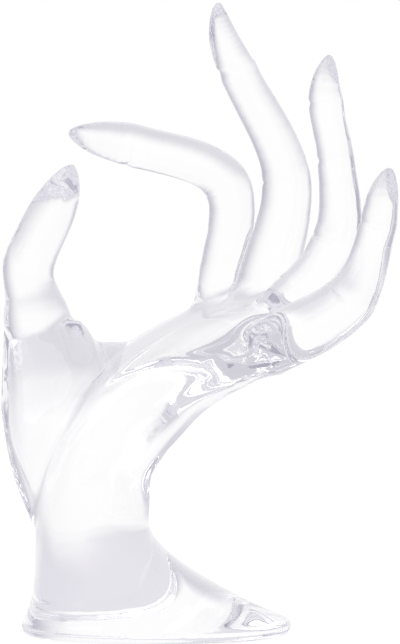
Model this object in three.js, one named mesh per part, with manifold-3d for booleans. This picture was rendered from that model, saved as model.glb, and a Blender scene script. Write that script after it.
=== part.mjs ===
// A clear acrylic left hand in an open OK gesture on a flared foot: a stand for rings, bangles and chains.
// Millimetres, +Z up. +X runs to the foot's toe, under the back of the hand, and -Y is the little finger's
// side. The origin is the centre of the foot's flat underside.

import * as THREE from 'three';
import { LoftGeometry } from 'three/addons/geometries/LoftGeometry.js';
import { mergeVertices } from 'three/addons/utils/BufferGeometryUtils.js';
import Module from 'manifold-3d';

const wasm = await Module();
wasm.setup();

// Driving dimensions

const BOND_LINE = 0.3; // clear adhesive between two pieces

const FOOT = {
  length: 69.4,
  depth: 43.5,
  height: 26, // up to the joint with the wrist
  edge: 2.3, // radius of the rim's nose
  toeFlare: 1.25, // 1 is a straight slope, more is hollower
  heelFlare: 3.4,
  squareness: 2.2, // 2 is an ellipse
};

const WRIST = {
  breadth: 38,
  thickness: 27,
  setBack: 16.6, // from the foot's centre towards its heel
  turn: 65, // degrees from the foot's length to the wrist's breadth
};

// The hand is measured from the centre of the wrist's joint with the foot.
// Sections of its body: centre, half breadth, depth on the palm's side and on the back, squareness (2 is an
// ellipse) and the share of the palm's side that is hollowed
const HEEL = { x: 0.2, y: 0, z: 14.5, half: 20, pad: 11.5, back: 13.2, squareness: 2.1, hollow: 0.05 };
const MID_PALM = { x: 15.1, y: 1, z: 38.5, half: 21, pad: 9.3, back: 9.8, squareness: 3, hollow: 0.4 };
const KNUCKLE_ROW = { overhang: 6.6, pad: 6.9, back: 6.7, squareness: 3, hollow: 0.1 };
const NOSE = { ahead: 6, taper: 0.3 }; // the palm's round end beyond the knuckles, and how much it narrows
const WRIST_SHARE = 0.36; // of the hand's body, from the foot to the knuckles

// Digits: the first joint's centre, then each span's length, its lift from +X and its lean to the little
// finger's side in degrees, half thicknesses at the joints and midway between them, how far the last span's
// flesh moves from the nail to the pad, and how full the tip is. The middle, ring and little fingers' first
// joints are measured from the joint of the finger before
const INDEX = {
  knuckle: { x: 31.6, y: 16, z: 55.5 },
  spans: [35.5, 27, 17],
  lifts: [85, 158, 169],
  leans: [10, 12, 10],
  girth: [6, 6.1, 6, 5.8, 5.5],
  pulp: 0.3,
  tip: 1.5,
};
const MIDDLE = {
  knuckle: { x: 10.5, y: -10, z: 0 },
  spans: [36.5, 32.5, 18],
  lifts: [77, 114, 107],
  leans: [2, 9, 13],
  girth: [7.2, 7.3, 6.2, 5.6, 4.8],
  pulp: 1,
  tip: 1.5,
};
const RING = {
  knuckle: { x: 3.5, y: -11.5, z: -1 },
  spans: [27, 21, 14.5, 12.5],
  lifts: [51, 90, 100, 86],
  leans: [7, 3, 5, 5],
  girth: [6.2, 6.2, 6, 5.4, 4.6, 4.6, 4.4],
  pulp: 0.4,
  tip: 1.65,
};
const LITTLE = {
  knuckle: { x: -2, y: -10.5, z: -7 },
  spans: [26.3, 19.8, 15],
  lifts: [31.5, 69, 79],
  leans: [11, 4, 6],
  girth: [7, 6.9, 5.8, 4.9, 4.6],
  pulp: 0.5,
  tip: 2.35,
};
// The thumb starts inside the wrist, and its web widens it towards the palm
const THUMB = {
  knuckle: { x: -6.9, y: 11, z: 8.5 },
  spans: [26, 24, 12.5, 27.5],
  lifts: [105, 92, 96, 69.5],
  leans: [0, 5, 9, 11],
  girth: [9.5, 9.7, 10, 8, 6.6, 6.2, 6.05],
  web: [0, 4, 12, 12, 1.5, 0, 0],
  pulp: 1.7,
  tip: 4,
};
const THUMB_TURN = { x: -0.56, y: 0.77, z: 0.22 }; // across the thumb, so that its nail faces out of the loop
const THUMB_BASE_SPANS = 2; // spans of the thumb that lie in its base
const ROOT = { behind: 8, taper: 0.6 }; // a digit starts behind its first joint, inside the body, and thinner
// Ball of the thumb, an ellipsoid: its centre, length along +Z, breadth along +X and depth along +Y
const THENAR = { x: -6.6, y: 8, z: 30, length: 38, breadth: 30, depth: 25 };
// Web between the thumb and the palm: where it leaves the thumb's spine and where it ends in the palm, as
// shares of their lengths and of the palm's half breadth, with its half height and thickness at both ends
const WEB = {
  onThumb: 0.26,
  alongPalm: 0.75,
  acrossPalm: 0.68,
  start: { half: 15, thick: 9 },
  end: { half: 4.2, thick: 3 },
};

// A nail's length and its distance from the tip as shares of the last span, its breadth as a share of the
// span's, and its rise
const NAIL = { length: 0.69, short: 0.03, breadth: 0.78, rise: 0.3 };

const TIP_ROUND = 0.65; // 0.5 is an elliptical tip, 1 a pointed one
const TIP_SPECK = 0.005; // share of the last span that is left off, so that the tip ends in a flat speck
const EDGE_TURN = 2.2; // radians that the rim's nose turns through before the flare takes over

// Facets

const DIGIT_SIDES = 20;
const DIGIT_RINGS = 8; // to each span
const TIP_RINGS = 10;
const NAIL_SIDES = 16;
const BODY_SIDES = 36;
const BODY_RINGS = 24;
const NOSE_RINGS = 4;
const WEB_RINGS = 8;
const THENAR_SIDES = 28;
const FOOT_SIDES = 48;
const EDGE_RINGS = 6;
const FLARE_RINGS = 10;

// Curves and sections

const pointOf = ({ x, y, z }) => new THREE.Vector3(x, y, z);

/** Power of a number that keeps its sign. */
const power = (value, exponent) => Math.sign(value) * Math.abs(value) ** exponent;

/** Direction of a span from its lift above +X and its lean towards -Y, in degrees. */
function spanDirection(lift, lean) {
  const up = THREE.MathUtils.degToRad(lift);
  const near = THREE.MathUtils.degToRad(lean);
  return new THREE.Vector3(Math.cos(up) * Math.cos(near), -Math.sin(near), Math.sin(up) * Math.cos(near));
}

/** Joint centres of a digit, from its knuckle to its tip. */
function jointsOf(knuckle, { spans, lifts, leans }) {
  const joints = [knuckle];
  spans.forEach((length, i) => {
    joints.push(spanDirection(lifts[i], leans[i]).multiplyScalar(length).add(joints[i]));
  });
  return joints;
}

/** Frame of a section: its centre, its axis across the limb and its axis to the limb's back. */
function sectionFrame(centre, along, across) {
  const side = across.clone().addScaledVector(along, -across.dot(along)).normalize();
  return { centre, side, back: along.clone().cross(side) };
}

/** Points of one oval section, fuller or flatter on the pad side than on the back. */
function ovalSection({ centre, side, back }, size, sides) {
  const exponent = 2 / size.squareness;
  const points = [];
  for (let i = 0; i < sides; i += 1) {
    const angle = (i / sides) * 2 * Math.PI;
    const rise = Math.sin(angle);
    const depth = rise > 0 ? size.back : size.pad * (1 - size.hollow * rise * rise);
    const point = centre.clone();
    point.addScaledVector(side, power(Math.cos(angle), exponent) * size.half);
    point.addScaledVector(back, power(rise, exponent) * depth);
    points.push(point);
  }
  return points;
}

// Solids

/** Solid of a closed geometry, with its seams welded. */
function closedSolid(geometry) {
  const skin = new THREE.BufferGeometry();
  skin.setAttribute('position', geometry.getAttribute('position'));
  skin.setIndex(geometry.getIndex());
  const welded = mergeVertices(skin);
  const mesh = new wasm.Mesh({
    numProp: 3,
    vertProperties: welded.getAttribute('position').array,
    triVerts: Uint32Array.from(welded.getIndex().array),
  });
  return new wasm.Manifold(mesh);
}

/** Solid of a loft through sections: its end has a flat cap, or else its last section is an edge. */
function loftSolid(sections, capEnd = true) {
  return closedSolid(new LoftGeometry(sections, { capStart: true, capEnd }));
}

/** Geometry of a solid, ready for a mesh. */
function geometryOf(solid) {
  const { vertProperties, triVerts } = solid.getMesh();
  const geometry = new THREE.BufferGeometry();
  geometry.setAttribute('position', new THREE.BufferAttribute(vertProperties, 3));
  geometry.setIndex(new THREE.BufferAttribute(triVerts, 1));
  geometry.computeVertexNormals();
  return geometry;
}

/** The largest body of a solid: a cut can leave crumbs beyond the piece that made it. */
function mainBody(solid) {
  return solid.decompose().reduce((best, body) => (body.volume() > best.volume() ? body : best));
}

/** What is left of a solid beside its neighbours, which are passed grown by the bond line. */
function trimmed(solid, neighbours) {
  return mainBody(neighbours.reduce((rest, cutter) => rest.subtract(cutter), solid));
}

// Hand's body: wrist and palm on one spine

const indexKnuckle = pointOf(INDEX.knuckle);
const middleKnuckle = pointOf(MIDDLE.knuckle).add(indexKnuckle);
const ringKnuckle = pointOf(RING.knuckle).add(middleKnuckle);
const littleKnuckle = pointOf(LITTLE.knuckle).add(ringKnuckle);
const knuckleCurve = new THREE.CatmullRomCurve3([indexKnuckle, middleKnuckle, ringKnuckle, littleKnuckle]);
const knuckleRow = littleKnuckle.clone().sub(indexKnuckle);
const knuckleAcross = knuckleRow.clone().normalize();
const wristAcross = spanDirection(0, WRIST.turn);

const bodySpine = new THREE.CatmullRomCurve3([
  new THREE.Vector3(),
  pointOf(HEEL),
  pointOf(MID_PALM),
  indexKnuckle.clone().lerp(littleKnuckle, 0.5),
]);
const bodyStations = [
  { half: WRIST.breadth / 2, pad: WRIST.thickness / 2, back: WRIST.thickness / 2, squareness: 2, hollow: 0 },
  HEEL,
  MID_PALM,
  { ...KNUCKLE_ROW, half: knuckleRow.length() / 2 + KNUCKLE_ROW.overhang },
];
const midPalmShare = bodyStations.indexOf(MID_PALM) / (bodyStations.length - 1);
const bodySizes = new THREE.CubicInterpolant(
  bodyStations.map((station, i) => i / (bodyStations.length - 1)),
  bodyStations.flatMap(({ half, pad, back, squareness, hollow }) => [half, pad, back, squareness, hollow]),
  5,
);

/** How far the knuckles bow ahead of the straight row, at a distance across it from its middle. */
function knuckleBow(distance) {
  const share = THREE.MathUtils.clamp(0.5 + distance / knuckleRow.length(), 0, 1);
  return knuckleCurve.getPoint(share).sub(indexKnuckle.clone().lerp(littleKnuckle, share));
}

/** Frame of the hand's body at a share of its spine, moved along it if asked. */
function bodyFrame(share, move = 0) {
  const level = 1 - THREE.MathUtils.smoothstep(share, 0, WRIST_SHARE);
  const along = bodySpine.getTangent(share).lerp(new THREE.Vector3(0, 0, 1), level).normalize();
  const across = wristAcross.clone().lerp(knuckleAcross, share).normalize();
  return sectionFrame(bodySpine.getPoint(share).addScaledVector(along, move), along, across);
}

/**
 * Section of the hand's body at a share of its spine, grown all round. It can be moved along the spine and
 * shrunk, and it bows with the knuckles as it nears them.
 */
function bodySection(share, grow, move = 0, shrink = 1) {
  const frame = bodyFrame(share, move);
  const [half, pad, back, squareness, hollow] = bodySizes.evaluate(share);
  const size = {
    half: (half + grow) * (1 - NOSE.taper * (1 - shrink)),
    pad: (pad + grow) * shrink,
    back: (back + grow) * shrink,
    squareness,
    hollow,
  };
  const bow = THREE.MathUtils.smoothstep(share, midPalmShare, 1);
  return ovalSection(frame, size, BODY_SIDES).map((point) => {
    const distance = point.clone().sub(frame.centre).dot(frame.side);
    return point.addScaledVector(knuckleBow(distance), bow);
  });
}

/** Wrist, from its joint with the foot to its joint with the palm. */
function wristSolid(grow) {
  const rings = Math.round(BODY_RINGS * WRIST_SHARE);
  const sections = [bodySection(0, grow, BOND_LINE - grow)];
  for (let i = 1; i < rings; i += 1) {
    sections.push(bodySection((i / rings) * WRIST_SHARE, grow));
  }
  sections.push(bodySection(WRIST_SHARE, grow, grow));
  return loftSolid(sections);
}

/** Palm, from its joint with the wrist to its round end beyond the knuckles, which closes in an edge. */
function palmSolid(grow) {
  const rings = Math.round(BODY_RINGS * (1 - WRIST_SHARE));
  const sections = [bodySection(WRIST_SHARE, grow, BOND_LINE - grow)];
  for (let i = 1; i <= rings; i += 1) {
    sections.push(bodySection(THREE.MathUtils.lerp(WRIST_SHARE, 1, i / rings), grow));
  }
  for (let i = 1; i <= NOSE_RINGS; i += 1) {
    const turn = (i / NOSE_RINGS) * (Math.PI / 2);
    sections.push(bodySection(1, grow, (NOSE.ahead + grow) * Math.sin(turn), Math.cos(turn)));
  }
  return loftSolid(sections, false);
}

// Digits

/** A digit's spine, its axis across, the way to its root in the body, and its sizes along the spine. */
function limbOf(digit, knuckle, across, body) {
  const count = digit.spans.length;
  const webs = digit.web ?? digit.girth.map(() => 0);
  const sizes = new THREE.CubicInterpolant(
    digit.girth.map((half, i) => i / (2 * count)),
    digit.girth.flatMap((half, i) => [half, half + webs[i]]),
    2,
  );
  const lastJoint = 1 - 1 / count;
  const sizeAt = (share) => {
    const reach = Math.max(0, (share - lastJoint) * count);
    const fullness = (1 - reach ** digit.tip) ** TIP_ROUND;
    const [half, pad] = sizes.evaluate(Math.min(share, lastJoint));
    const pulp = digit.pulp * Math.sin(reach * Math.PI);
    return { half: half * fullness, pad: pad * fullness + pulp, back: half * fullness - pulp };
  };
  const root = body.clone().sub(knuckle).setLength(ROOT.behind);
  return { spine: new THREE.CatmullRomCurve3(jointsOf(knuckle, digit)), across, root, sizeAt, count };
}

/** Section of a limb, grown all round, and moved and shrunk if asked. */
function limbSection(limb, share, grow, move = new THREE.Vector3(), shrink = 1) {
  const centre = limb.spine.getPoint(share).add(move);
  const frame = sectionFrame(centre, limb.spine.getTangent(share), limb.across);
  const { half, pad, back } = limb.sizeAt(share);
  const size = {
    half: half * shrink + grow,
    pad: pad * shrink + grow,
    back: back * shrink + grow,
    squareness: 2,
    hollow: 0,
  };
  return ovalSection(frame, size, DIGIT_SIDES);
}

/** First sections of a limb: its root and knuckle, or the joint with the span before. */
function firstSections(limb, firstSpan, grow) {
  if (firstSpan === 0) {
    return [limbSection(limb, 0, grow, limb.root, ROOT.taper), limbSection(limb, 0, grow)];
  }
  const share = firstSpan / limb.count;
  return [limbSection(limb, share, grow, limb.spine.getTangent(share).multiplyScalar(BOND_LINE))];
}

/** Solid of a limb from one of its spans on, to another's start or to the tip. */
function limbSolid(limb, firstSpan, endSpan, grow) {
  const sections = firstSections(limb, firstSpan, grow);
  for (let span = firstSpan; span < endSpan; span += 1) {
    const isTip = span === limb.count - 1;
    const rings = isTip ? TIP_RINGS : DIGIT_RINGS;
    for (let i = 1; i <= rings; i += 1) {
      const step = i / rings;
      const reach = isTip ? (1 - TIP_SPECK) * Math.sin((step * Math.PI) / 2) : step;
      sections.push(limbSection(limb, (span + reach) / limb.count, grow));
    }
  }
  return loftSolid(sections);
}

const palmCentre = pointOf(MID_PALM);
const limbs = {
  index: limbOf(INDEX, indexKnuckle, knuckleAcross, palmCentre),
  middle: limbOf(MIDDLE, middleKnuckle, knuckleAcross, palmCentre),
  ring: limbOf(RING, ringKnuckle, knuckleAcross, palmCentre),
  little: limbOf(LITTLE, littleKnuckle, knuckleAcross, palmCentre),
  thumb: limbOf(THUMB, pointOf(THUMB.knuckle), pointOf(THUMB_TURN), new THREE.Vector3()),
};

/** Ball of the thumb, over the side of the thumb's base. */
function thenarSolid() {
  const ball = new THREE.SphereGeometry(1, THENAR_SIDES, THENAR_SIDES / 2);
  ball.scale(THENAR.breadth / 2, THENAR.depth / 2, THENAR.length / 2);
  ball.translate(THENAR.x, THENAR.y, THENAR.z);
  return closedSolid(ball);
}

/** Web of the thumb, from inside the thumb's base to inside the palm's edge. */
function webSolid() {
  const palm = bodyFrame(WEB.alongPalm);
  const [palmHalf] = bodySizes.evaluate(WEB.alongPalm);
  const start = limbs.thumb.spine.getPoint(WEB.onThumb);
  const end = palm.centre.addScaledVector(palm.side, -palmHalf * WEB.acrossPalm);
  const along = end.clone().sub(start).normalize();
  const sections = [];
  for (let i = 0; i <= WEB_RINGS; i += 1) {
    const share = i / WEB_RINGS;
    const frame = sectionFrame(start.clone().lerp(end, share), along, new THREE.Vector3(0, 0, 1));
    const half = THREE.MathUtils.lerp(WEB.start.half, WEB.end.half, share);
    const thick = THREE.MathUtils.lerp(WEB.start.thick, WEB.end.thick, share);
    const size = { half, pad: thick, back: thick, squareness: 2, hollow: 0 };
    sections.push(ovalSection(frame, size, DIGIT_SIDES));
  }
  return loftSolid(sections);
}

/** Point on a limb's back, at a share of its last span. */
function backPoint(limb, reach) {
  const share = (limb.count - 1 + reach) / limb.count;
  const along = limb.spine.getTangent(share);
  const { centre, back } = sectionFrame(limb.spine.getPoint(share), along, limb.across);
  return centre.addScaledVector(back, limb.sizeAt(share).back);
}

/** Nail: a shallow plate let into the back of the last span, proud of it by its rise. */
function nailSolid(limb) {
  const root = backPoint(limb, 1 - NAIL.short - NAIL.length);
  const end = backPoint(limb, 1 - NAIL.short);
  const middle = 1 - NAIL.short - NAIL.length / 2;
  const along = end.clone().sub(root);
  const bed = root.clone().lerp(end, 0.5);
  const { side, back } = sectionFrame(bed, along.clone().normalize(), limb.across);
  const crown = backPoint(limb, middle).sub(bed).dot(back) + NAIL.rise;
  const half = limb.sizeAt((limb.count - 1 + middle) / limb.count).half * NAIL.breadth;
  const plate = new THREE.SphereGeometry(1, NAIL_SIDES, NAIL_SIDES / 2);
  plate.applyMatrix4(
    new THREE.Matrix4()
      .makeBasis(side.multiplyScalar(half), along.multiplyScalar(0.5), back.multiplyScalar(-crown))
      .setPosition(bed),
  );
  return closedSolid(plate);
}

/** Whole digit from its knuckle to its tip, bare or with its nail. */
const digitSolid = (limb, grow) => limbSolid(limb, 0, limb.count, grow);
const fingerSolid = (limb) => digitSolid(limb, 0).add(nailSolid(limb));

// Foot

/** Point of the rim's outline at an angle seen from above. */
function rimPoint(angle) {
  const exponent = 2 / FOOT.squareness;
  const along = (power(Math.cos(angle), exponent) * FOOT.length) / 2;
  const aside = (power(Math.sin(angle), exponent) * FOOT.depth) / 2;
  return new THREE.Vector3(along, aside, 0);
}

/** Point of the neck's outline, which is the wrist's, at the same angle from its own centre. */
function neckPoint(angle) {
  const turn = angle + THREE.MathUtils.degToRad(WRIST.turn);
  const inBreadth = Math.cos(turn) / (WRIST.breadth / 2);
  const inThickness = Math.sin(turn) / (WRIST.thickness / 2);
  const radius = 1 / Math.hypot(inBreadth, inThickness);
  return new THREE.Vector3(Math.cos(angle) * radius - WRIST.setBack, Math.sin(angle) * radius, 0);
}

/** Section of the foot at a height: climb is 0 at the rim and 1 at the neck. */
function footSection(height, climb, inset) {
  const points = [];
  for (let i = 0; i < FOOT_SIDES; i += 1) {
    const angle = (i / FOOT_SIDES) * 2 * Math.PI;
    const rim = rimPoint(angle);
    rim.setLength(rim.length() - inset);
    const flare = THREE.MathUtils.lerp(FOOT.heelFlare, FOOT.toeFlare, (1 + Math.cos(angle)) / 2);
    points.push(neckPoint(angle).lerp(rim, (1 - climb) ** flare).setZ(height));
  }
  return points;
}

/** Foot: a flat underside, the rim's round nose, and a flare up to the neck. */
function footSolid() {
  const sections = [];
  const noseHeight = (turn) => FOOT.edge * (1 - Math.cos(turn));
  const noseInset = (turn) => FOOT.edge * (1 - Math.sin(turn));
  for (let i = 0; i <= EDGE_RINGS; i += 1) {
    const turn = (i / EDGE_RINGS) * EDGE_TURN;
    sections.push(footSection(noseHeight(turn), 0, noseInset(turn)));
  }
  for (let i = 1; i <= FLARE_RINGS; i += 1) {
    const climb = i / FLARE_RINGS;
    const height = THREE.MathUtils.lerp(noseHeight(EDGE_TURN), FOOT.height, climb);
    sections.push(footSection(height, climb, noseInset(EDGE_TURN)));
  }
  return loftSolid(sections);
}

// Assembly

const palmCut = palmSolid(BOND_LINE);
const wristCut = wristSolid(BOND_LINE);

const thumbMass = limbSolid(limbs.thumb, 0, THUMB_BASE_SPANS, 0).add(webSolid()).add(thenarSolid());

const handSolids = {
  wrist: wristSolid(0),
  palm: palmSolid(0),
  thumb_base: trimmed(thumbMass, [wristCut, palmCut]),
  thumb: limbSolid(limbs.thumb, THUMB_BASE_SPANS, limbs.thumb.count, 0).add(nailSolid(limbs.thumb)),
  index_finger: trimmed(fingerSolid(limbs.index), [palmCut]),
  middle_finger: trimmed(fingerSolid(limbs.middle), [palmCut, digitSolid(limbs.index, BOND_LINE)]),
  ring_finger: trimmed(fingerSolid(limbs.ring), [palmCut, digitSolid(limbs.middle, BOND_LINE)]),
  little_finger: trimmed(fingerSolid(limbs.little), [palmCut, digitSolid(limbs.ring, BOND_LINE)]),
};

/** Mesh of one named piece in clear acrylic. */
function pieceMesh(name, solid) {
  const acrylic = new THREE.MeshStandardMaterial({
    color: 0xe9e7f2,
    roughness: 0.05,
    metalness: 0,
    transparent: true,
    opacity: 0.35,
  });
  const mesh = new THREE.Mesh(geometryOf(solid), acrylic);
  mesh.name = name;
  return mesh;
}

const hand = new THREE.Group();
hand.position.set(-WRIST.setBack, 0, FOOT.height);
for (const [name, solid] of Object.entries(handSolids)) {
  hand.add(pieceMesh(name, solid));
}

const stand = new THREE.Group();
stand.add(pieceMesh('foot', footSolid()), hand);

export default stand;
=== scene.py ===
"""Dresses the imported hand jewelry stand: one clear acrylic casting on a white studio floor."""

from __future__ import annotations

import logging
import math
from dataclasses import dataclass, field
from enum import Enum
from typing import Any, ClassVar, Sequence

import bmesh
import bpy
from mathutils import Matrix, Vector
from mathutils.kdtree import KDTree

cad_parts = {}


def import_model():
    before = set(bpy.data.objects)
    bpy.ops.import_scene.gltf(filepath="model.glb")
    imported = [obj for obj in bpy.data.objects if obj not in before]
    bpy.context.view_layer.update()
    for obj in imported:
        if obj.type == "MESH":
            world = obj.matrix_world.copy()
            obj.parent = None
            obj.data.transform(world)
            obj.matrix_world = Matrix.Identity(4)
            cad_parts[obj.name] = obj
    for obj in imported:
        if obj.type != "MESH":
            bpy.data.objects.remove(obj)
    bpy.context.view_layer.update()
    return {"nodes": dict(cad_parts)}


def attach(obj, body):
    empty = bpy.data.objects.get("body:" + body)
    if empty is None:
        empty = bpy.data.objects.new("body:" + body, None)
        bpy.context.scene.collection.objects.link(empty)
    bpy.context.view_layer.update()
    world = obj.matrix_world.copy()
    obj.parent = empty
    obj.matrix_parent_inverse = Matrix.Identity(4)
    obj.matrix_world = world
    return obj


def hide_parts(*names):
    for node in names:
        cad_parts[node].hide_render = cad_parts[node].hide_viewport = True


LOG = logging.getLogger("hand_stand")
MM = 0.001
ORIGIN = Vector((0, 0, 0)).freeze()
UP = Vector((0, 0, 1)).freeze()


# Curves


class Bend(Enum):
    """How a curve is spaced: by the distances between its points for a path, and evenly for sizes."""

    PATH = 0.5
    SIZES = 0.0


def spline(points: Sequence[Vector], share: float, bend: Bend) -> Vector:
    """Point of a curve through points.

    Args:
        points: Points in any number of dimensions.
        share: How far along the curve, from 0 to 1.
        bend: How the curve is spaced.

    Returns:
        The point at that share.
    """
    last = len(points) - 1
    index = min(int(share * last), last - 1)
    step = share * last - index
    here = points[index]
    ahead = points[index + 1]
    behind = points[index - 1] if index > 0 else 2 * here - ahead
    beyond = points[index + 2] if index + 2 <= last else 2 * ahead - here
    before = (here - behind).length ** bend.value
    span = (ahead - here).length ** bend.value
    after = (beyond - ahead).length ** bend.value
    leave = ((here - behind) / before - (ahead - behind) / (before + span)) * span + (ahead - here)
    arrive = ((beyond - ahead) / after - (beyond - here) / (span + after)) * span + (ahead - here)
    square = step * step
    cube = square * step
    return (
        here * (2 * cube - 3 * square + 1)
        + leave * (cube - 2 * square + step)
        + ahead * (3 * square - 2 * cube)
        + arrive * (cube - square)
    )


def heading(points: Sequence[Vector], share: float) -> Vector:
    """Unit direction of a path in space at a share of it."""
    step = 1e-4
    start = spline(points, max(0.0, share - step), Bend.PATH)
    end = spline(points, min(1.0, share + step), Bend.PATH)
    return (end - start).normalized()


def smoothstep(low: float, high: float, value: float) -> float:
    """Eased ramp from 0 at low to 1 at high."""
    share = min(1.0, max(0.0, (value - low) / (high - low)))
    return share * share * (3 - 2 * share)


def signed_power(value: float, power: float) -> float:
    """Power of a number that keeps its sign."""
    return math.copysign(abs(value) ** power, value)


def direction(lift: float, lean: float) -> Vector:
    """Direction from its lift above +X and its lean towards -Y, in degrees."""
    up = math.radians(lift)
    near = math.radians(lean)
    return Vector((math.cos(up) * math.cos(near), -math.sin(near), math.sin(up) * math.cos(near)))


# Sections and skins


@dataclass(frozen=True)
class Section:
    """One oval section of the hand, in millimetres.

    A squareness of 2 is an ellipse. The hollow is the share of the pad that is dented, and the ridge the
    share by which the back is thicker on the side that across points to.
    """

    centre: Vector
    along: Vector
    across: Vector
    half: float
    pad: float
    back: float
    squareness: float = 2.0
    hollow: float = 0.0
    ridge: float = 0.0

    def side_axis(self) -> Vector:
        """Unit axis across the limb."""
        return (self.across - self.along * self.across.dot(self.along)).normalized()

    def back_axis(self) -> Vector:
        """Unit axis from the pad to the back."""
        return self.along.cross(self.side_axis())

    def outline(self, segments: int) -> list[Vector]:
        """Points round the section.

        Args:
            segments: How many points.

        Returns:
            The points, from the little finger's side over the back.
        """
        side = self.side_axis()
        back = self.back_axis()
        power = 2 / self.squareness
        points = []
        for i in range(segments):
            turn = 2 * math.pi * i / segments
            rise = math.sin(turn)
            pad = self.pad * (1 - self.hollow * rise * rise)
            back_depth = self.back * (1 + self.ridge * math.cos(turn))
            depth = back_depth if rise > 0 else pad
            reach = side * signed_power(math.cos(turn), power) * self.half
            points.append(self.centre + reach + back * signed_power(rise, power) * depth)
        return points


class Skin:
    """A closed skin bridged from ring to ring, in metres, with a weld for its points in millimetres."""

    weld: ClassVar[float] = 0.001

    def __init__(self, offset: Vector) -> None:
        """Starts an empty skin, whose points in millimetres are moved by an offset."""
        self.mesh = bmesh.new()
        self.offset = offset
        self.edges: list[bmesh.types.BMEdge] = []

    def ring(self, points: Sequence[Vector]) -> None:
        """Adds one ring, and bridges it to the one before or caps it if it is the first.

        Args:
            points: The ring's points in millimetres.
        """
        made = bmesh.ops.create_circle(self.mesh, segments=len(points), radius=1.0)
        for vert, point in zip(made["verts"], points):
            vert.co = (point + self.offset) * MM
        edges = list({edge for vert in made["verts"] for edge in vert.link_edges})
        if self.edges:
            bmesh.ops.bridge_loops(self.mesh, edges=self.edges + edges)
        else:
            bmesh.ops.contextual_create(self.mesh, geom=edges)
        self.edges = edges

    def close(self, rough: bmesh.types.BMesh) -> None:
        """Caps the last ring and adds the skin to a mesh of skins.

        Args:
            rough: The mesh of skins.
        """
        bmesh.ops.contextual_create(self.mesh, geom=self.edges)
        bmesh.ops.remove_doubles(self.mesh, verts=self.mesh.verts, dist=self.weld * MM)
        bmesh.ops.recalc_face_normals(self.mesh, faces=self.mesh.faces)
        part = bpy.data.meshes.new("skin")
        self.mesh.to_mesh(part)
        self.mesh.free()
        rough.from_mesh(part)
        bpy.data.meshes.remove(part)


# Pieces of the casting


@dataclass(frozen=True)
class Nail:
    """A flat nail.

    Its length is a share of the digit's last span. Its slope from the digit's line and its roll round the
    digit, away from the little finger's side, are in degrees.
    """

    length: float = 0.6
    slope: float = 18.0
    roll: float = 0.0


@dataclass(frozen=True)
class Crease:
    """A crease across the pad side of a digit's joint, in millimetres.

    It fades between two places round the digit, where 1 is the back and -1 the pad.
    """

    depth: float = 0.45
    width: float = 0.6
    fade: tuple[float, float] = (-0.6, 0.2)

    def height(self, distance: float, backward: float) -> float:
        """Height of the crease, less than 0 where the surface sinks.

        Args:
            distance: Distance along the digit from the joint, in millimetres.
            backward: Where round the digit: 1 on its back and -1 on its pad.

        Returns:
            The height in millimetres.
        """
        reach = 1 - smoothstep(*self.fade, backward)
        return -self.depth * reach * math.exp(-((distance / self.width) ** 2))


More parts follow.
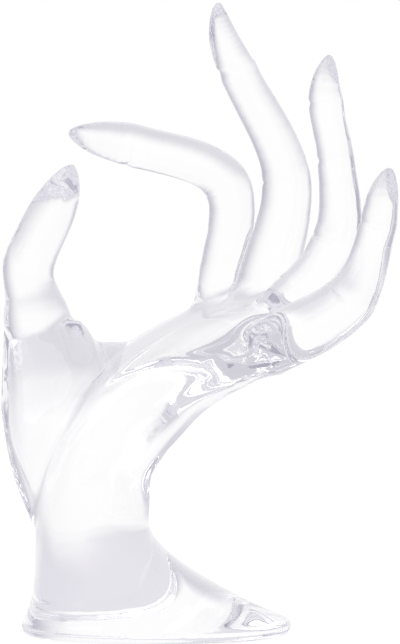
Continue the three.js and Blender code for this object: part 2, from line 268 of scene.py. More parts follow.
@dataclass(frozen=True, eq=False)
class Digit:
    """A finger or the thumb: its joints, thicknesses, web and tip, in millimetres."""

    knuckle: Vector
    spans: tuple[float, ...]
    lifts: tuple[float, ...]
    leans: tuple[float, ...]
    girth: tuple[float, ...]
    pulp: float
    tip: float
    across: Vector
    body: Vector
    web: tuple[float, ...] = ()
    nails: tuple[Nail, ...] = (Nail(),)
    crease: Crease = Crease()
    bulge: float = 0.05
    bulge_share: float = 0.05
    bulge_level: float = 0.4
    least_half: float = 1.0
    segments: int = 64
    rings: int = 30
    tip_round: float = 0.65
    tip_speck: float = 0.005
    root_behind: float = 8.0
    root_taper: float = 0.6

    def joints(self) -> list[Vector]:
        """Joint centres from the knuckle to the tip."""
        joints = [self.knuckle]
        for length, lift, lean in zip(self.spans, self.lifts, self.leans):
            joints.append(joints[-1] + direction(lift, lean) * length)
        return joints

    def section(self, share: float, move: Vector = ORIGIN, shrink: float = 1.0) -> Section:
        """Section at a share of the digit's length.

        Args:
            share: How far along, from 0 at the knuckle to 1 at the tip.
            move: How far the section is moved.
            shrink: How much smaller it is made.

        Returns:
            The section.
        """
        count = len(self.spans)
        last_joint = self.last_joint()
        reach = max(0.0, (share - last_joint) * count)
        webs = self.web or (0.0,) * len(self.girth)
        sizes = [Vector((half, half + web)) for half, web in zip(self.girth, webs)]
        girth = spline(sizes, min(share, last_joint) / last_joint, Bend.SIZES)
        half, pad = girth * shrink * self.swelling(share)
        fullness = max(0.0, 1 - reach**self.tip) ** self.tip_round
        pulp = self.pulp * math.sin(reach * math.pi)
        joints = self.joints()
        return Section(
            centre=spline(joints, share, Bend.PATH) + move,
            along=heading(joints, share),
            across=self.across,
            half=half * fullness,
            pad=pad * fullness + pulp,
            back=half * fullness - pulp,
        )

    def last_joint(self) -> float:
        """The share at which the last span starts."""
        return 1 - 1 / len(self.spans)

    def swelling(self, share: float) -> float:
        """How much thicker the digit is near its joints and thinner between them, as a factor."""
        count = len(self.spans)
        near = min(abs(share - joint / count) for joint in range(1, count))
        return 1 + self.bulge * (math.exp(-((near / self.bulge_share) ** 2)) - self.bulge_level)

    def nail_plane(self, nail: Nail) -> tuple[Vector, Vector]:
        """A nail's plane.

        Args:
            nail: The nail.

        Returns:
            The nail's root, on the digit's skin, and the plane's outward normal.
        """
        section = self.section(1 - nail.length / len(self.spans))
        roll = math.radians(nail.roll)
        slope = math.radians(nail.slope)
        depth = section.back if math.cos(roll) > 0 else section.pad
        backward = section.back_axis() * math.cos(roll)
        aside = section.side_axis() * math.sin(roll)
        root = section.centre + backward * depth - aside * section.half
        return root, (backward - aside) * math.cos(slope) + section.along * math.sin(slope)

    def creases(self, share: float, section: Section, point: Vector) -> float:
        """Height of the creases at a point of the digit's skin.

        Args:
            share: How far along the digit, from 0 to 1.
            section: The digit's section there.
            point: The point, in millimetres.

        Returns:
            The height in millimetres, less than 0 where the surface sinks.
        """
        count = len(self.spans)
        half = max(section.half, self.least_half)
        backward = (point - section.centre).dot(section.back_axis()) / half
        return sum(
            self.crease.height((share * count - joint) * self.spans[joint], backward)
            for joint in range(1, count)
        )

    def build(self, mesh: bmesh.types.BMesh, offset: Vector) -> None:
        """Adds the digit's closed skin, from its root inside the hand to its tip.

        Args:
            mesh: The mesh to add it to.
            offset: The hand's place, in millimetres.
        """
        skin = Skin(offset)
        root = (self.body - self.knuckle).normalized() * self.root_behind
        skin.ring(self.section(0.0, root, self.root_taper).outline(self.segments))
        count = len(self.spans)
        steps = (count - 1) * self.rings
        for i in range(steps + 1):
            skin.ring(self.section(i / steps * self.last_joint()).outline(self.segments))
        for i in range(1, self.rings + 1):
            reach = (1 - self.tip_speck) * math.sin(i / self.rings * math.pi / 2)
            skin.ring(self.section((count - 1 + reach) / count).outline(self.segments))
        skin.close(mesh)


@dataclass(frozen=True)
class Station:
    """A section of the hand's body, in millimetres."""

    centre: Vector
    half: float
    pad: float
    back: float
    squareness: float
    hollow: float
    ridge: float

    def sizes(self) -> Vector:
        """Its sizes as one vector."""
        return Vector((self.half, self.pad, self.back, self.squareness, self.hollow, self.ridge))


@dataclass(frozen=True)
class HandBody:
    """Wrist and palm on one spine, ending in a nose that bows with the knuckles, in millimetres.

    The higher the twist, the later the body turns from the wrist's breadth to the row of knuckles.
    """

    stations: tuple[Station, ...]
    knuckles: tuple[Vector, ...]
    wrist_across: Vector
    wrist_share: float = 0.36
    twist: float = 3.0
    bow_from: float = 2 / 3
    nose_ahead: float = 6.0
    nose_taper: float = 0.3
    into_foot: float = 3.0
    segments: int = 144
    rings: int = 100
    nose_rings: int = 12

    def knuckle_row(self) -> Vector:
        """From the index finger's knuckle to the little finger's."""
        return self.knuckles[-1] - self.knuckles[0]

    def bow(self, distance: float) -> Vector:
        """How far the knuckles bow ahead of the straight row, at a distance across it from its middle."""
        share = min(1.0, max(0.0, 0.5 + distance / self.knuckle_row().length))
        straight = self.knuckles[0].lerp(self.knuckles[-1], share)
        return spline(self.knuckles, share, Bend.PATH) - straight

    def section(self, share: float, move: float = 0.0, shrink: float = 1.0) -> Section:
        """Section of the body, before it bows with the knuckles.

        Args:
            share: How far along the body, from 0 at the foot to 1 at the knuckles.
            move: How far the section is moved along the body.
            shrink: How much flatter it is made.

        Returns:
            The section.
        """
        path = [station.centre for station in self.stations]
        level = 1 - smoothstep(0, self.wrist_share, share)
        along = heading(path, share).lerp(UP, level).normalized()
        across = self.wrist_across.lerp(self.knuckle_row().normalized(), share**self.twist).normalized()
        sizes = [station.sizes() for station in self.stations]
        half, pad, back, squareness, hollow, ridge = spline(sizes, share, Bend.SIZES)
        return Section(
            centre=spline(path, share, Bend.PATH) + along * move,
            along=along,
            across=across,
            half=half * (1 - self.nose_taper * (1 - shrink)),
            pad=pad * shrink,
            back=back * shrink,
            squareness=squareness,
            hollow=hollow,
            ridge=ridge,
        )

    def outline(self, share: float, move: float = 0.0, shrink: float = 1.0) -> list[Vector]:
        """Points round the body, at a section that section() describes."""
        section = self.section(share, move, shrink)
        side = section.side_axis()
        weight = smoothstep(self.bow_from, 1, share)
        outline = section.outline(self.segments)
        return [point + self.bow((point - section.centre).dot(side)) * weight for point in outline]

    def build(self, mesh: bmesh.types.BMesh, offset: Vector) -> None:
        """Adds the body's closed skin.

        Args:
            mesh: The mesh to add it to.
            offset: The hand's place, in millimetres.
        """
        skin = Skin(offset)
        skin.ring(self.outline(0.0, -self.into_foot))
        for i in range(self.rings + 1):
            skin.ring(self.outline(i / self.rings))
        for i in range(1, self.nose_rings + 1):
            turn = i / self.nose_rings * math.pi / 2
            skin.ring(self.outline(1.0, self.nose_ahead * math.sin(turn), math.cos(turn)))
        skin.close(mesh)


@dataclass(frozen=True)
class Tendons:
    """Ridges on the back of the hand that run up to the knuckles, in millimetres.

    The spread is their distance apart at the foot, as a share of that at the knuckles. They rise over a
    share of the body's length, and over the flank from the side to the back, where 1 is the back.
    """

    height: float = 0.6
    width: float = 2.0
    spread: float = 0.4
    start: float = 0.02
    start_length: float = 0.15
    flank: tuple[float, float] = (0.3, 0.8)
    knuckle_height: float = 0.7
    knuckle_size: float = 5.0

    def height_at(self, share: float, section: Section, point: Vector, body: HandBody) -> float:
        """Height of the ridges at a point of the hand's skin.

        Args:
            share: How far along the hand's body, from 0 to 1.
            section: The body's section there.
            point: The point, in millimetres.
            body: The hand's body.

        Returns:
            The height in millimetres.
        """
        out = point - section.centre
        reach = smoothstep(*self.flank, out.dot(section.back_axis()) / section.back)
        if reach == 0:
            return 0.0
        last = body.section(1.0)
        gather = self.spread + (1 - self.spread) * share
        rise = self.height * smoothstep(self.start, self.start + self.start_length, share)
        total = 0.0
        for knuckle in body.knuckles:
            place = (knuckle - last.centre).dot(last.side_axis()) * gather
            total += rise * math.exp(-(((out.dot(section.side_axis()) - place) / self.width) ** 2))
            total += self.knuckle_height * math.exp(-(((point - knuckle).length / self.knuckle_size) ** 2))
        return total * reach


class Relief:
    """Nails, creases and tendons that are pressed into the fused skin.

    A point belongs to a digit beyond the share that is its root, within a reach of its half thickness.
    """

    root_share: ClassVar[float] = 0.2
    reach: ClassVar[float] = 1.5
    least_half: ClassVar[float] = 3.0
    steps: ClassVar[int] = 120

    def __init__(self, digits: Sequence[Digit], body: HandBody, offset: Vector) -> None:
        """Samples the digits' spines and the body's.

        Args:
            digits: The digits.
            body: The wrist and palm.
            offset: The hand's place, in millimetres.
        """
        self.offset = offset
        self.body = body
        self.tendons = Tendons()
        self.nails = {digit: [digit.nail_plane(nail) for nail in digit.nails] for digit in digits}
        shares = [i / self.steps for i in range(self.steps + 1)]
        self.digit_samples = [(digit, share, digit.section(share)) for digit in digits for share in shares]
        self.body_samples = [(share, body.section(share)) for share in shares]
        self.digit_tree = self.tree([sample[2] for sample in self.digit_samples])
        self.body_tree = self.tree([sample[1] for sample in self.body_samples])

    @staticmethod
    def tree(sections: Sequence[Section]) -> KDTree:
        """Search tree of the sections' centres."""
        tree = KDTree(len(sections))
        for i, section in enumerate(sections):
            tree.insert(section.centre, i)
        tree.balance()
        return tree

    def in_hand(self, place: Vector) -> bool:
        """Whether a place in metres is above the foot and not on a digit beyond its root."""
        point = place / MM - self.offset
        return point.z > 0 and self.nearest(point)[0] is None

    def press(self, skin: bmesh.types.BMesh) -> None:
        """Moves the skin's vertices in and out.

        Args:
            skin: The fused skin, in metres.
        """
        skin.normal_update()
        for vert in skin.verts:
            vert.co += self.move(vert.co / MM - self.offset, vert.normal) * MM

    def nearest(self, point: Vector) -> tuple[Digit | None, float, Section]:
        """The digit that a point belongs to.

        Args:
            point: The point, in millimetres.

        Returns:
            The digit or None, and the nearest share and section of a digit.
        """
        _, index, distance = self.digit_tree.find(point)
        digit, share, section = self.digit_samples[index]
        if share > self.root_share and distance < self.reach * max(section.half, self.least_half):
            return digit, share, section
        return None, share, section

    def move(self, point: Vector, outward: Vector) -> Vector:
        """How far a point of the skin moves.

        Args:
            point: The point, in millimetres.
            outward: The skin's normal there.

        Returns:
            The move in millimetres.
        """
        digit, share, section = self.nearest(point)
        if digit is not None:
            for nail, normal in self.nails[digit]:
                over = (point - nail).dot(normal)
                if over > 0 and share > digit.last_joint():
                    return -normal * over
            return outward * digit.creases(share, section, point)
        _, index, _ = self.body_tree.find(point)
        share, section = self.body_samples[index]
        return outward * self.tendons.height_at(share, section, point, self.body)


@dataclass(frozen=True)
class Web:
    """Skin between the thumb and the palm: shares of their lengths and half sizes in millimetres."""

    on_thumb: float = 0.26
    along_palm: float = 0.75
    across_palm: float = 0.68
    halves: tuple[float, float] = (15, 4.2)
    thicks: tuple[float, float] = (11, 5.5)
    segments: int = 64
    rings: int = 24

    def build(self, mesh: bmesh.types.BMesh, offset: Vector, thumb: Digit, body: HandBody) -> None:
        """Adds the web's closed skin, from inside the thumb's base to inside the palm.

        Args:
            mesh: The mesh to add it to.
            offset: The hand's place, in millimetres.
            thumb: The thumb.
            body: The wrist and palm.
        """
        palm = body.section(self.along_palm)
        start = thumb.section(self.on_thumb).centre
        end = palm.centre - palm.side_axis() * palm.half * self.across_palm
        skin = Skin(offset)
        for i in range(self.rings + 1):
            share = i / self.rings
            thick = self.thicks[0] + (self.thicks[1] - self.thicks[0]) * share
            section = Section(
                centre=start.lerp(end, share),
                along=(end - start).normalized(),
                across=UP,
                half=self.halves[0] + (self.halves[1] - self.halves[0]) * share,
                pad=thick,
                back=thick,
            )
            skin.ring(section.outline(self.segments))
        skin.close(mesh)


@dataclass(frozen=True)
class Level:
    """A section of the thumb's ball, measured from the wrist's joint, in millimetres."""

    centre: Vector
    half: float
    thick: float

    def sizes(self) -> Vector:
        """Its place and sizes as one vector."""
        return Vector((*self.centre, self.half, self.thick))


@dataclass(frozen=True)
class Thenar:
    """The ball of the thumb: a round wedge, thickest half way from the wrist to the web, in millimetres.

    Its levels are square to a line that is lifted from +X by the tilt, in degrees.
    """

    levels: tuple[Level, ...] = (
        Level(centre=Vector((-8.7, 6.5, 2)), half=4, thick=8),
        Level(centre=Vector((-8.7, 6, 15)), half=8.6, thick=13.5),
        Level(centre=Vector((-9, 4.6, 28)), half=12.4, thick=17.2),
        Level(centre=Vector((-9, 6, 40)), half=12.8, thick=13.2),
        Level(centre=Vector((-11.5, 7.7, 51)), half=10, thick=7.2),
        Level(centre=Vector((-12.5, 8.2, 54)), half=6.5, thick=4),
    )
    tilt: float = 102.0
    squareness: float = 3.2
    segments: int = 96
    rings: int = 60

    def build(self, mesh: bmesh.types.BMesh, offset: Vector) -> None:
        """Adds the ball's closed skin.

        Args:
            mesh: The mesh to add it to.
            offset: The hand's place, in millimetres.
        """
        skin = Skin(offset)
        levels = [level.sizes() for level in self.levels]
        for i in range(self.rings + 1):
            *centre, half, thick = spline(levels, i / self.rings, Bend.SIZES)
            section = Section(
                centre=Vector(centre),
                along=direction(self.tilt, 0),
                across=Vector((1, 0, 0)),
                half=half,
                pad=thick,
                back=thick,
                squareness=self.squareness,
            )
            skin.ring(section.outline(self.segments))
        skin.close(mesh)


@dataclass(frozen=True)
class Foot:
    """The flared foot, in millimetres.

    A flare of 1 is a straight slope, and more is hollower. The higher a reach, the narrower the part of the
    rim that has the toe's or the heel's flare. The rim's nose goes round by the edge's turn, in radians. The
    neck's breadth is turned from the foot's length by the neck's turn, in degrees.
    """

    length: float = 69.4
    depth: float = 51.0
    height: float = 30.0
    edge: float = 2.3
    edge_turn: float = 2.2
    toe_flare: float = 1.7
    side_flare: float = 1.35
    heel_flare: float = 4.0
    toe_reach: float = 4.0
    heel_reach: float = 14.0
    squareness: float = 2.2
    neck_breadth: float = 38.0
    neck_thickness: float = 28.5
    neck_back: float = 16.85
    neck_turn: float = 80.0
    segments: int = 160
    edge_rings: int = 14
    flare_rings: int = 40

    def rim(self, turn: float, inset: float) -> Vector:
        """Point of the rim seen from above, moved in by an inset."""
        power = 2 / self.squareness
        along = signed_power(math.cos(turn), power) * self.length / 2
        aside = signed_power(math.sin(turn), power) * self.depth / 2
        point = Vector((along, aside, 0))
        return point * (1 - inset / point.length)

    def neck(self, turn: float) -> Vector:
        """Point of the neck seen from above."""
        tilt = turn + math.radians(self.neck_turn)
        in_breadth = math.cos(tilt) / (self.neck_breadth / 2)
        in_thickness = math.sin(tilt) / (self.neck_thickness / 2)
        radius = 1 / math.hypot(in_breadth, in_thickness)
        return Vector((math.cos(turn) * radius - self.neck_back, math.sin(turn) * radius, 0))

    def outline(self, height: float, climb: float, inset: float) -> list[Vector]:
        """Points round the foot.

        Args:
            height: The height of the section.
            climb: 0 at the rim and 1 at the neck.
            inset: How far the rim is moved in.

        Returns:
            The points.
        """
        points = []
        for i in range(self.segments):
            turn = 2 * math.pi * i / self.segments
            toe = max(0.0, math.cos(turn)) ** self.toe_reach
            heel = max(0.0, -math.cos(turn)) ** self.heel_reach
            flare = self.side_flare + (self.toe_flare - self.side_flare) * toe
            flare += (self.heel_flare - self.side_flare) * heel
            point = self.neck(turn).lerp(self.rim(turn, inset), (1 - climb) ** flare)
            points.append(Vector((point.x, point.y, height)))
        return points

    def build(self, mesh: bmesh.types.BMesh) -> None:
        """Adds the foot's closed skin: flat underside, round rim and flare."""
        skin = Skin(ORIGIN)
        for i in range(self.edge_rings + 1):
            turn = i / self.edge_rings * self.edge_turn
            skin.ring(self.outline(self.edge * (1 - math.cos(turn)), 0, self.edge * (1 - math.sin(turn))))
        low = self.edge * (1 - math.cos(self.edge_turn))
        inset = self.edge * (1 - math.sin(self.edge_turn))
        for i in range(1, self.flare_rings + 1):
            climb = i / self.flare_rings
            skin.ring(self.outline(low + (self.height - low) * climb, climb, inset))
        skin.close(mesh)


@dataclass
class HandCasting:
    """The whole clear casting: foot, wrist, palm, fingers and thumb in one skin, in millimetres.

    The corner's angle, in radians, is the least bend of an inner corner that is filleted.
    """

    foot: Foot = field(default_factory=Foot)
    wrist: Vector = field(default_factory=lambda: Vector((-16.6, 0, 26)))
    palm: Vector = field(default_factory=lambda: Vector((15.1, 1, 38.5)))
    overhang: float = 6.6
    voxel: float = 0.66
    smooth_in: float = 0.5
    smooth_out: float = -0.52
    polish_passes: int = 16
    relief_passes: int = 2
    corner_angle: float = 0.05
    corner_rings: int = 5
    corner_passes: int = 40

    def digits(self) -> dict[str, Digit]:
        """The five digits by name, measured from the centre of the wrist's joint with the foot."""
        index = Vector((31.6, 16, 55.5))
        middle = index + Vector((10.5, -10, 0))
        ring = middle + Vector((3.5, -11.5, -1))
        little = ring + Vector((-2, -10.5, -7))
        across = (little - index).normalized()
        return {
            "index": Digit(
                knuckle=index,
                spans=(35.5, 27, 17),
                lifts=(85, 158, 169),
                leans=(10, 12, 10),
                girth=(6, 6.1, 6, 5.8, 5.5),
                pulp=0.3,
                tip=2,
                nails=(Nail(slope=12),),
                across=across,
                body=self.palm,
            ),
            "middle": Digit(
                knuckle=middle,
                spans=(36.5, 32.5, 18),
                lifts=(77, 114, 107),
                leans=(2, 9, 13),
                girth=(7.2, 7.3, 6.2, 5.6, 4.8),
                pulp=1,
                tip=1.5,
                nails=(Nail(slope=10), Nail(length=0.3, slope=36, roll=85)),
                across=across,
                body=self.palm,
            ),
            "ring": Digit(
                knuckle=ring,
                spans=(27, 21, 14.5, 12.5),
                lifts=(51, 90, 100, 86),
                leans=(7, 3, 5, 5),
                girth=(6.2, 6.2, 6, 5.4, 4.6, 4.6, 4.4),
                pulp=0.4,
                tip=1.65,
                nails=(Nail(length=0.7, slope=21, roll=35),),
                across=across,
                body=self.palm,
            ),
            "little": Digit(
                knuckle=little,
                spans=(26.3, 19.8, 15),
                lifts=(31.5, 69, 79),
                leans=(11, 4, 6),
                girth=(7.5, 7.7, 6.7, 5.3, 4.6),
                pulp=0.5,
                tip=2.35,
                nails=(Nail(length=0.7, slope=19, roll=30),),
                across=across,
                body=self.palm,
            ),
            "thumb": Digit(
                knuckle=Vector((-5.5, 7.2, 3)),
                spans=(31.9, 24, 12.5, 28.8),
                lifts=(104.8, 94, 96, 66.7),
                leans=(-6.9, 5, 9, 11),
                girth=(10.3, 11.8, 10.3, 9, 7.8, 6.9, 6.5),
                web=(0, 2, 6, 5, 1, 0, 0),
                pulp=1.7,
                tip=4,
                nails=(Nail(length=0.6, slope=22, roll=-80),),
                crease=Crease(depth=0),
                across=Vector((-0.56, 0.77, 0.22)),
                body=ORIGIN,
            ),
        }

    def hand_body(self, digits: dict[str, Digit]) -> HandBody:
        """The wrist and palm that carry the digits."""
        knuckles = tuple(digits[name].knuckle for name in ("index", "middle", "ring", "little"))
        row = knuckles[-1] - knuckles[0]
        foot = self.foot
        thick = foot.neck_thickness / 2
        neck = Station(
            centre=Vector((-0.2, 0, 0)),
            half=foot.neck_breadth / 2,
            pad=thick,
            back=thick,
            squareness=2,
            hollow=0,
            ridge=0.1,
        )
        heel = Station(
            centre=Vector((0.7, 0, 20)), half=20, pad=13, back=13.5, squareness=3, hollow=0.05, ridge=0.1
        )
        middle = Station(
            centre=self.palm, half=21, pad=12, back=12.2, squareness=3, hollow=0.2, ridge=0.08
        )
        end = Station(
            centre=knuckles[0].lerp(knuckles[-1], 0.5),
            half=row.length / 2 + self.overhang,
            pad=6.9,
            back=6.7,
            squareness=3,
            hollow=0.1,
            ridge=0,
        )
        return HandBody((neck, heel, middle, end), knuckles, direction(0, foot.neck_turn))

    def build(self) -> bpy.types.Object:
        """Builds the casting's object.

        Returns:
            The object, at the origin, with its place in its mesh.
        """
        digits = self.digits()
        rough = bmesh.new()
        body = self.hand_body(digits)
        self.foot.build(rough)
        body.build(rough, self.wrist)
        Web().build(rough, self.wrist, digits["thumb"], body)
        Thenar().build(rough, self.wrist)
        for digit in digits.values():
            digit.build(rough, self.wrist)
        casting = self.fused(rough)
        self.finish(casting, Relief(list(digits.values()), body, self.wrist))
        return casting

    def fused(self, rough: bmesh.types.BMesh) -> bpy.types.Object:
        """Fuses the overlapping skins into one.

        Args:
            rough: The overlapping closed skins, which are used up.

        Returns:
            A new object with one closed skin.
        """
        mesh = bpy.data.meshes.new("hand_casting")
        rough.to_mesh(mesh)
        rough.free()
        casting = bpy.data.objects.new("hand_casting", mesh)
        bpy.context.scene.collection.objects.link(casting)
        fuse = casting.modifiers.new("fuse", "REMESH")
        fuse.mode = "VOXEL"
        fuse.voxel_size = self.voxel * MM
        depsgraph = bpy.context.evaluated_depsgraph_get()
        casting.data = bpy.data.meshes.new_from_object(casting.evaluated_get(depsgraph))
        casting.modifiers.clear()
        return casting

    def finish(self, casting: bpy.types.Object, relief: Relief) -> None:
        """Polishes the skin, fillets its inner corners, presses the relief into it and shades it smooth.

        Args:
            casting: The fused casting.
            relief: Its nails, creases and tendons.
        """
        skin = bmesh.new()
        skin.from_mesh(casting.data)
        self.polish(skin, self.polish_passes)
        self.fillet(skin, relief)
        relief.press(skin)
        self.polish(skin, self.relief_passes)
        bmesh.ops.recalc_face_normals(skin, faces=skin.faces)
        for face in skin.faces:
            face.smooth = True
        skin.to_mesh(casting.data)
        skin.free()

    def fillet(self, skin: bmesh.types.BMesh, relief: Relief) -> None:
        """Rounds the inner corners where two pieces of the hand meet.

        Args:
            skin: The fused skin.
            relief: It tells which points are on the palm, wrist and thumb's base.
        """
        skin.normal_update()
        corners = {
            vert
            for edge in skin.edges
            if edge.calc_face_angle_signed(0.0) < -self.corner_angle
            for vert in edge.verts
        }
        for _ in range(self.corner_rings):
            corners |= {edge.other_vert(vert) for vert in corners for edge in vert.link_edges}
        corners = {vert for vert in corners if relief.in_hand(vert.co)}
        LOG.info("%d vertices in inner corners", len(corners))
        for _ in range(self.corner_passes):
            self.smooth(skin, list(corners), self.smooth_in)

    def polish(self, skin: bmesh.types.BMesh, passes: int) -> None:
        """Smooths the skin, with each pass in followed by one out so that it doesn't shrink.

        Args:
            skin: The fused skin.
            passes: How many pairs of passes.
        """
        for factor in (self.smooth_in, self.smooth_out) * passes:
            self.smooth(skin, skin.verts, factor)

    @staticmethod
    def smooth(skin: bmesh.types.BMesh, verts: Sequence[bmesh.types.BMVert], factor: float) -> None:
        """Moves vertices towards their neighbours by a factor, or away from them if it is less than 0."""
        bmesh.ops.smooth_vert(
            skin, verts=verts, factor=factor, use_axis_x=True, use_axis_y=True, use_axis_z=True
        )


# Finishes


def linear(hex_colour: str) -> tuple[float, float, float, float]:
    """Linear colour of an sRGB hex value.

    Args:
        hex_colour: Six hex digits after a hash sign.

    Returns:
        Red, green, blue and an alpha of 1.
    """
    channels = [int(hex_colour[i : i + 2], 16) / 255 for i in (1, 3, 5)]
    values = [c / 12.92 if c <= 0.04045 else ((c + 0.055) / 1.055) ** 2.4 for c in channels]
    return (values[0], values[1], values[2], 1.0)


def add_node(
    tree: bpy.types.NodeTree,
    kind: str,
    values: dict[str | int, Any] | None = None,
    links: dict[str | int, bpy.types.NodeSocket] | None = None,
    **settings: Any,
) -> bpy.types.Node:
    """Adds a node with its settings and links.

    Args:
        tree: The node tree.
        kind: The node's type.
        values: Values of its inputs.
        links: Sockets that feed its inputs.
        **settings: Properties of the node.

    Returns:
        The node.
    """
    node = tree.nodes.new(kind)
    for name, value in settings.items():
        setattr(node, name, value)
    for socket, value in (values or {}).items():
        node.inputs[socket].default_value = value
    for socket, source in (links or {}).items():
        tree.links.new(source, node.inputs[socket])
    return node


@dataclass(frozen=True)
class ClearAcrylic:
    """Clear cast acrylic, in millimetres.

    It is a resin that was set in a mould and flame polished, so the eye sees glass with soft waves. The
    toner tints a path through it as long as the depth.
    """

    surface: str = "#FFFFFF"
    toner: str = "#C9C3E4"
    refraction: float = 1.49
    gloss: float = 0.02
    gloss_spread: float = 0.5
    depth: float = 1500.0
    wave_size: float = 9.0
    wave_height: float = 0.012
    wave_detail: float = 1.0
    wave_roughness: float = 0.4

    def material(self) -> bpy.types.Material:
        """The finish as a material."""
        material = bpy.data.materials.new("clear cast acrylic")
        material.use_nodes = True
        tree = material.node_tree
        tree.nodes.clear()
        place = add_node(tree, "ShaderNodeTexCoord")
        wave = add_node(
            tree,
            "ShaderNodeTexNoise",
            {
                "Scale": 1 / (self.wave_size * MM),
                "Detail": self.wave_detail,
                "Roughness": self.wave_roughness,
            },
            {"Vector": place.outputs["Object"]},
        )
        bump = add_node(
            tree,
            "ShaderNodeBump",
            {"Strength": 1.0, "Distance": self.wave_height * MM},
            {"Height": wave.outputs["Fac"]},
        )
        polish = add_node(
            tree,
            "ShaderNodeMapRange",
            {
                "To Min": self.gloss * (1 - self.gloss_spread),
                "To Max": self.gloss * (1 + self.gloss_spread),
            },
            {"Value": wave.outputs["Fac"]},
        )
        shader = add_node(
            tree,
            "ShaderNodeBsdfPrincipled",
            {
                "Base Color": linear(self.surface),
                "IOR": self.refraction,
                "Transmission Weight": 1.0,
            },
            {"Roughness": polish.outputs["Result"], "Normal": bump.outputs["Normal"]},
        )
        body = add_node(
            tree,
            "ShaderNodeVolumeAbsorption",
            {"Color": linear(self.toner), "Density": 1 / (self.depth * MM)},
        )
        add_node(
            tree,
            "ShaderNodeOutputMaterial",
            links={"Surface": shader.outputs["BSDF"], "Volume": body.outputs["Volume"]},
        )
        return material


# Studio


@dataclass(frozen=True)
class Card:
    """A round grey card far away, with a soft edge, that the camera sees only in the glass, in degrees."""

    azimuth: float
    height: float
    inner: float
    outer: float
    tone: float

    def axis(self) -> Vector:
        """Direction of the card's middle: azimuth 0 is straight behind the object, 90 is to the right."""
        turn = math.radians(self.azimuth)
        rise = math.radians(self.height)
        return Vector((math.sin(turn) * math.cos(rise), math.cos(turn) * math.cos(rise), math.sin(rise)))


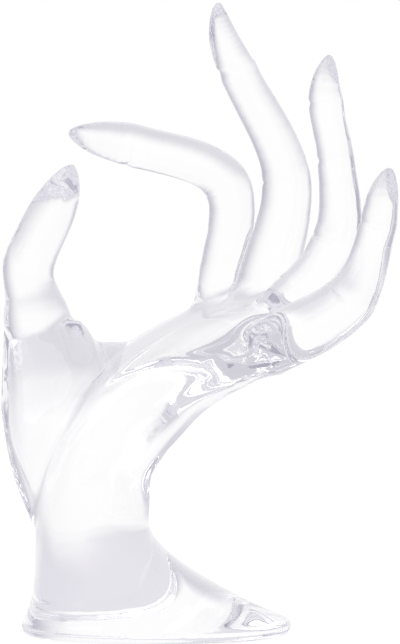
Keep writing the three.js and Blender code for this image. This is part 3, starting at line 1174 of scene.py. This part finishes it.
@dataclass
class Studio:
    """White floor with a painted shadow that only glass sees, white surroundings with grey cards, a soft
    lamp and the camera, in metres.
    """

    target: Vector = field(default_factory=lambda: Vector((0.0113, 0.0, 0.0805)))
    distance: float = 0.9
    elevation: float = 1.5
    view_height: float = 0.166
    sensor: float = 36.0
    bounces: int = 40
    floor_drop: float = 0.0002
    floor_size: float = 3.0
    floor_glow: float = 1.08
    floor_share: float = 0.9
    # Painted shadow that glass sees round the object: full within the first distance from the middle, gone
    # beyond the second, and its grey
    painted_shadow_reach: tuple[float, float] = (0.06, 0.13)
    painted_shadow_grey: str = "#E6E4EB"
    paper: str = "#F4F4F6"
    white: str = "#FFFFFF"
    lavender: str = "#BCBAC8"
    black: str = "#000000"
    lamp_place: Vector = field(default_factory=lambda: Vector((-0.7, -0.5, 0.9)))
    lamp_size: float = 1.0
    lamp_power: float = 3.0
    cards: tuple[Card, ...] = (
        Card(azimuth=90, height=0, inner=10, outer=72, tone=0.42),
        Card(azimuth=-90, height=0, inner=5, outer=52, tone=0.42),
        Card(azimuth=-50, height=43, inner=18, outer=36, tone=0.64),
        Card(azimuth=0, height=90, inner=25, outer=40, tone=0.4),
        Card(azimuth=0, height=-90, inner=60, outer=85, tone=0.74),
    )

    def camera(self) -> None:
        """Sets up the camera at the photograph's viewing angle."""
        data = bpy.data.cameras.new("camera")
        data.sensor_fit = "VERTICAL"
        data.sensor_height = self.sensor
        data.lens = self.sensor * self.distance / self.view_height
        camera = bpy.data.objects.new("camera", data)
        rise = math.radians(self.elevation)
        away = Vector((0, -math.cos(rise), math.sin(rise)))
        camera.location = self.target + away * self.distance
        camera.rotation_euler = (-away).to_track_quat("-Z", "Y").to_euler()
        bpy.context.scene.collection.objects.link(camera)
        bpy.context.scene.camera = camera

    def floor(self) -> None:
        """Adds the floor: paper that glows for the camera, and for glass a painted shadow, a grey glow round
        the object that stands in for its shadow on the floor.
        """
        grid = bmesh.new()
        bmesh.ops.create_grid(grid, x_segments=1, y_segments=1, size=self.floor_size)
        bmesh.ops.translate(grid, verts=grid.verts, vec=(0, 0, -self.floor_drop))
        mesh = bpy.data.meshes.new("floor")
        grid.to_mesh(mesh)
        grid.free()
        floor = bpy.data.objects.new("floor", mesh)
        bpy.context.scene.collection.objects.link(floor)
        material = bpy.data.materials.new("white paper floor")
        material.use_nodes = True
        tree = material.node_tree
        tree.nodes.clear()
        path = add_node(tree, "ShaderNodeLightPath")
        paper = add_node(tree, "ShaderNodeBsdfDiffuse", {"Color": linear(self.paper)})
        glow = add_node(
            tree, "ShaderNodeEmission", {"Color": linear(self.white), "Strength": self.floor_glow}
        )
        share = add_node(
            tree,
            "ShaderNodeMath",
            {1: self.floor_share},
            {0: path.outputs["Is Camera Ray"]},
            operation="MULTIPLY",
        )
        seen = add_node(
            tree,
            "ShaderNodeMixShader",
            links={0: share.outputs[0], 1: paper.outputs[0], 2: glow.outputs[0]},
        )
        place = add_node(tree, "ShaderNodeTexCoord")
        away = add_node(
            tree, "ShaderNodeVectorMath", links={0: place.outputs["Object"]}, operation="LENGTH"
        )
        near = add_node(
            # How much painted shadow there is: 1 close to the object, 0 beyond its reach
            tree,
            "ShaderNodeMapRange",
            {"From Min": self.painted_shadow_reach[0], "From Max": self.painted_shadow_reach[1], "To Min": 1.0, "To Max": 0.0},
            {"Value": away.outputs["Value"]},
            interpolation_type="SMOOTHSTEP",
        )
        # Painted shadow: a grey glow on the floor near the object that glass sees in place of the object's
        # real shadow
        shade = add_node(tree, "ShaderNodeEmission", {"Color": linear(self.painted_shadow_grey)})
        clear = add_node(tree, "ShaderNodeBsdfTransparent")
        through = add_node(
            tree,
            "ShaderNodeMixShader",
            links={0: near.outputs["Result"], 1: clear.outputs[0], 2: shade.outputs[0]},
        )
        glass = add_node(
            tree,
            "ShaderNodeMath",
            links={0: path.outputs["Is Transmission Ray"], 1: path.outputs["Is Glossy Ray"]},
            operation="MAXIMUM",
        )
        mixed = add_node(
            tree,
            "ShaderNodeMixShader",
            links={0: glass.outputs[0], 1: seen.outputs[0], 2: through.outputs[0]},
        )
        add_node(tree, "ShaderNodeOutputMaterial", links={"Surface": mixed.outputs[0]})
        mesh.materials.append(material)

    def world(self) -> None:
        """Sets up the surroundings: white for the camera, and white with grey cards for all else."""
        world = bpy.data.worlds.new("studio")
        world.use_nodes = True
        bpy.context.scene.world = world
        tree = world.node_tree
        tree.nodes.clear()
        place = add_node(tree, "ShaderNodeTexCoord")
        sky: bpy.types.NodeSocket | None = None
        for card in self.cards:
            near = add_node(
                tree,
                "ShaderNodeVectorMath",
                {1: card.axis()},
                {0: place.outputs["Generated"]},
                operation="DOT_PRODUCT",
            )
            side = add_node(
                tree,
                "ShaderNodeMapRange",
                {
                    "From Min": math.cos(math.radians(card.outer)),
                    "From Max": math.cos(math.radians(card.inner)),
                    "To Min": 1.0,
                    "To Max": card.tone,
                },
                {"Value": near.outputs["Value"]},
                interpolation_type="SMOOTHSTEP",
            )
            if sky is None:
                sky = side.outputs["Result"]
            else:
                both = add_node(
                    tree, "ShaderNodeMath", links={0: sky, 1: side.outputs["Result"]}, operation="MINIMUM"
                )
                sky = both.outputs[0]
        tint = add_node(tree, "ShaderNodeValToRGB", links={"Fac": sky})
        tint.color_ramp.elements[0].color = linear(self.black)
        tint.color_ramp.elements[1].color = linear(self.white)
        middle = tint.color_ramp.elements.new(0.5)
        middle.color = linear(self.lavender)
        path = add_node(tree, "ShaderNodeLightPath")
        seen = add_node(
            tree,
            "ShaderNodeMixRGB",
            {"Color2": linear(self.white)},
            {"Fac": path.outputs["Is Camera Ray"], "Color1": tint.outputs["Color"]},
        )
        light = add_node(tree, "ShaderNodeBackground", {"Strength": 1.0}, {"Color": seen.outputs[0]})
        add_node(tree, "ShaderNodeOutputWorld", links={"Surface": light.outputs[0]})

    def lamp(self) -> None:
        """Adds one soft square lamp that faces the target."""
        data = bpy.data.lights.new("soft key", "AREA")
        data.energy = self.lamp_power
        data.size = self.lamp_size
        lamp = bpy.data.objects.new("soft key", data)
        lamp.location = self.lamp_place
        lamp.rotation_euler = (self.target - self.lamp_place).to_track_quat("-Z", "Y").to_euler()
        bpy.context.scene.collection.objects.link(lamp)

    def build(self) -> None:
        """Builds the studio round the object."""
        scene = bpy.context.scene
        scene.view_settings.view_transform = "Standard"
        scene.cycles.max_bounces = self.bounces
        scene.cycles.transmission_bounces = self.bounces
        scene.cycles.glossy_bounces = self.bounces
        self.camera()
        self.world()
        self.floor()
        self.lamp()


def main() -> None:
    """Builds the stand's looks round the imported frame."""
    logging.basicConfig(level=logging.INFO, format="%(name)s: %(message)s")
    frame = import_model()
    Studio().build()
    LOG.info("studio ready")
    casting = HandCasting().build()
    casting.data.materials.clear()
    casting.data.materials.append(ClearAcrylic().material())
    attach(casting, "root")
    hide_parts(*sorted(frame["nodes"]))
    LOG.info("%s: %d faces", casting.name, len(casting.data.polygons))


if __name__ == "__main__":
    main()
